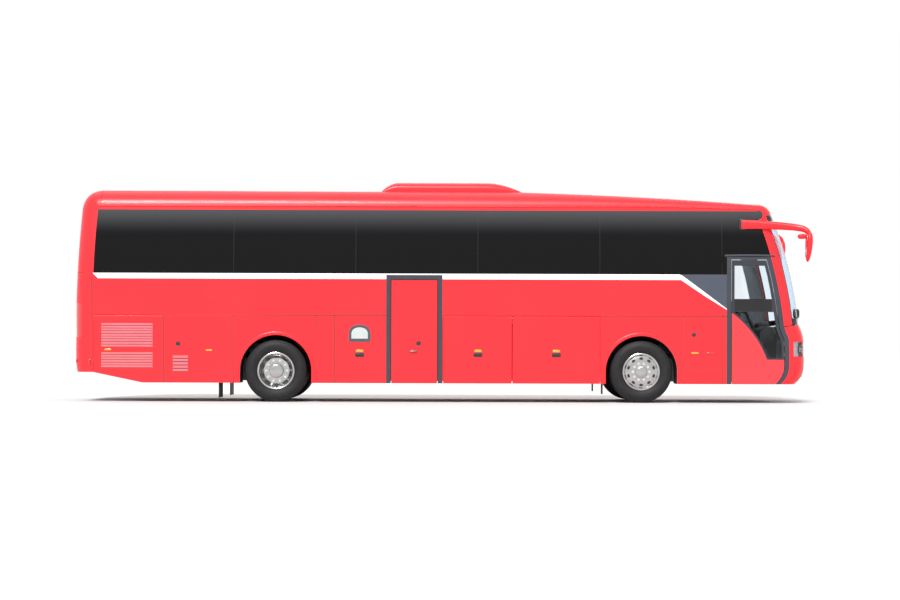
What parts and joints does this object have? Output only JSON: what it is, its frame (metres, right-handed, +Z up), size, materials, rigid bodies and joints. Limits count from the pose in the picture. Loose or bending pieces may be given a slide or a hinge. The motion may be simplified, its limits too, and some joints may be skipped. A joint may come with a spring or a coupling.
{
  "type": "coach bus",
  "caption": "Single-deck coach with a raised passenger floor, dark side glazing, hinged luggage and engine flaps, two swing-out doors and steered front wheels.",
  "frame": {"origin": "on the ground below the centre of the overall box", "axes": "+X forward, +Y to the driver's left, +Z up"},
  "size_m": [12.002, 2.94, 3.605],
  "materials": {
    "paint_red": "gloss",
    "tinted_glass": "gloss",
    "clear_glass": "gloss",
    "lamp_clear": "gloss",
    "lamp_red": "gloss",
    "frame_steel": "matte",
    "hinge_steel": "satin",
    "floor_wood": "matte",
    "step_plastic": "matte",
    "black_trim": "matte",
    "frame_grey": "satin",
    "flap_rubber": "matte",
    "seat_fabric": "matte",
    "tyre_rubber": "matte",
    "wheel_alloy": "polished"
  },
  "bodies": {
    "body": {"chassis_frame": "frame_steel", "tow_socket": "frame_steel", "underbody": "frame_steel", "floor_deck": "floor_wood", "entry_steps": "step_plastic", "side_wall_right": "paint_red", "side_wall_left": "paint_red", "side_glass": "tinted_glass", "roof": "paint_red", "roof_unit": "paint_red", "front_mask": "paint_red", "headlamps": "lamp_clear", "windscreen": "clear_glass", "a_pillars": "paint_red", "wipers": "black_trim", "rear_cap": "paint_red", "rear_window": "tinted_glass", "tail_lamps": "lamp_red", "hatch_hinges": "hinge_steel", "flap_rods": "hinge_steel", "door_frames": "frame_grey", "mirrors": "paint_red", "engine": "frame_steel", "mud_flaps": "flap_rubber", "seats": "seat_fabric", "dashboard": "black_trim", "front_axle": "frame_steel", "rear_axle": "frame_steel"},
    "knuckle_left": {"knuckle_left": "frame_steel"},
    "knuckle_right": {"knuckle_right": "frame_steel"},
    "wheel_front_left": {"tyre_front_left": "tyre_rubber", "rim_front_left": "wheel_alloy"},
    "wheel_front_right": {"tyre_front_right": "tyre_rubber", "rim_front_right": "wheel_alloy"},
    "wheel_rear_left": {"tyres_rear_left": "tyre_rubber", "rims_rear_left": "wheel_alloy"},
    "wheel_rear_right": {"tyres_rear_right": "tyre_rubber", "rims_rear_right": "wheel_alloy"},
    "front_door_arms": {"front_door_arms": "hinge_steel"},
    "front_door": {"front_door": "paint_red", "front_door_glass": "tinted_glass"},
    "mid_door_arms": {"mid_door_arms": "hinge_steel"},
    "mid_door": {"mid_door": "paint_red"},
    "engine_hatch": {"engine_hatch": "paint_red", "hatch_straps": "hinge_steel"},
    "luggage_flap_right_rear": {"luggage_flap_right_rear": "paint_red"},
    "luggage_flap_right_front": {"luggage_flap_right_front": "paint_red"},
    "luggage_flap_left_rear": {"luggage_flap_left_rear": "paint_red"},
    "luggage_flap_left_mid": {"luggage_flap_left_mid": "paint_red"},
    "luggage_flap_left_front": {"luggage_flap_left_front": "paint_red"},
    "engine_flap_right": {"engine_flap_right": "paint_red"},
    "engine_flap_left": {"engine_flap_left": "paint_red"}
  },
  "joints": [
    {"name": "steer_left", "type": "hinge", "parent": "body", "child": "knuckle_left", "pos_m": [3.23, 0.9, 0.505], "axis": [0, 0, 1], "range_deg": [-38, 38]},
    {"name": "steer_right", "type": "hinge", "parent": "body", "child": "knuckle_right", "pos_m": [3.23, -0.9, 0.505], "axis": [0, 0, 1], "range_deg": [-38, 38]},
    {"name": "spin_front_left", "type": "hinge", "parent": "knuckle_left", "child": "wheel_front_left", "pos_m": [3.23, 1.085, 0.505], "axis": [0, 1, 0], "continuous": true},
    {"name": "spin_front_right", "type": "hinge", "parent": "knuckle_right", "child": "wheel_front_right", "pos_m": [3.23, -1.085, 0.505], "axis": [0, 1, 0], "continuous": true},
    {"name": "spin_rear_left", "type": "hinge", "parent": "body", "child": "wheel_rear_left", "pos_m": [-2.7, 1.085, 0.505], "axis": [0, 1, 0], "continuous": true},
    {"name": "spin_rear_right", "type": "hinge", "parent": "body", "child": "wheel_rear_right", "pos_m": [-2.7, -1.085, 0.505], "axis": [0, 1, 0], "continuous": true},
    {"name": "front_door_swing", "type": "hinge", "parent": "body", "child": "front_door_arms", "pos_m": [4.835, -1.12, 1.085], "axis": [0, 0, -1], "range_deg": [0, 130]},
    {"name": "front_door_parallel", "type": "hinge", "parent": "front_door_arms", "child": "front_door", "pos_m": [5.235, -1.12, 1.085], "axis": [0, 0, -1], "range_deg": [-130, 0]},
    {"name": "mid_door_swing", "type": "hinge", "parent": "body", "child": "mid_door_arms", "pos_m": [-0.686, -1.12, 1.185], "axis": [0, 0, -1], "range_deg": [0, 130]},
    {"name": "mid_door_parallel", "type": "hinge", "parent": "mid_door_arms", "child": "mid_door", "pos_m": [-0.286, -1.12, 1.185], "axis": [0, 0, -1], "range_deg": [-130, 0]},
    {"name": "luggage_flap_right_rear_lift", "type": "hinge", "parent": "body", "child": "luggage_flap_right_rear", "pos_m": [0.56954, -1.236, 1.384], "axis": [-1, 0, 0], "range_deg": [0, 90]},
    {"name": "luggage_flap_right_front_lift", "type": "hinge", "parent": "body", "child": "luggage_flap_right_front", "pos_m": [1.84804, -1.236, 1.384], "axis": [-1, 0, 0], "range_deg": [0, 90]},
    {"name": "luggage_flap_left_rear_lift", "type": "hinge", "parent": "body", "child": "luggage_flap_left_rear", "pos_m": [-1.0285, 1.236, 1.384], "axis": [1, 0, 0], "range_deg": [0, 90]},
    {"name": "luggage_flap_left_mid_lift", "type": "hinge", "parent": "body", "child": "luggage_flap_left_mid", "pos_m": [0.4085, 1.236, 1.384], "axis": [1, 0, 0], "range_deg": [0, 90]},
    {"name": "luggage_flap_left_front_lift", "type": "hinge", "parent": "body", "child": "luggage_flap_left_front", "pos_m": [1.8455, 1.236, 1.384], "axis": [1, 0, 0], "range_deg": [0, 90]},
    {"name": "engine_flap_right_lift", "type": "hinge", "parent": "body", "child": "engine_flap_right", "pos_m": [-5.0875, -1.236, 1.384], "axis": [-1, 0, 0], "range_deg": [0, 90]},
    {"name": "engine_flap_left_lift", "type": "hinge", "parent": "body", "child": "engine_flap_left", "pos_m": [-5.0875, 1.236, 1.384], "axis": [1, 0, 0], "range_deg": [0, 90]},
    {"name": "engine_hatch_lift", "type": "hinge", "parent": "body", "child": "engine_hatch", "pos_m": [-5.993, 0, 1.864], "axis": [0, 1, 0], "range_deg": [0, 75]}
  ],
  "couplings": [
    {"joint": "steer_right", "follows": "steer_left", "ratio": 1},
    {"joint": "front_door_parallel", "follows": "front_door_swing", "ratio": -1},
    {"joint": "mid_door_parallel", "follows": "mid_door_swing", "ratio": -1}
  ]
}
